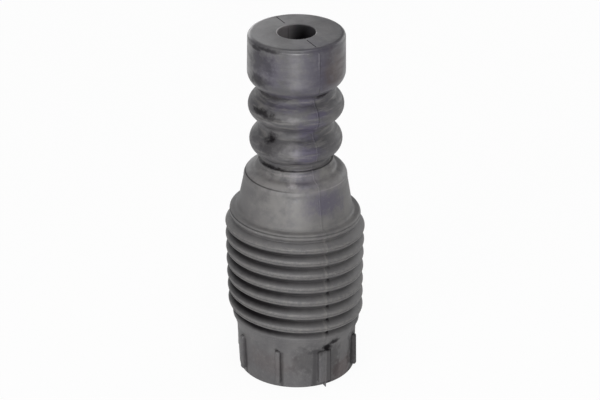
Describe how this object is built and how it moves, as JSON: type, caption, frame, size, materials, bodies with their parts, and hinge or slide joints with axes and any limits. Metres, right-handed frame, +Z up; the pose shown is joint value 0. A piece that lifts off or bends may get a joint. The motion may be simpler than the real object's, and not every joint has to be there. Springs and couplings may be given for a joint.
{
  "type": "shock absorber dust boot",
  "caption": "One-piece black rubber boot: solid bumper head with a rod bore, ribbed neck, cone, rounded collar, bellows and a ribbed skirt open at the bottom.",
  "frame": {"origin": "centre of the skirt's open rim, in the plane that it stands on", "axes": "+Z up the boot's axis towards the bumper head; the mould's parting line runs down the front at -Y and the back at +Y; +X to the right seen from the front"},
  "size_m": [0.0748, 0.0748, 0.1954],
  "materials": {
    "moulded_rubber": "satin, dusty, with paler scuffs on the crests"
  },
  "bodies": {
    "root": {"dust_boot": "moulded_rubber"}
  },
  "joints": []
}
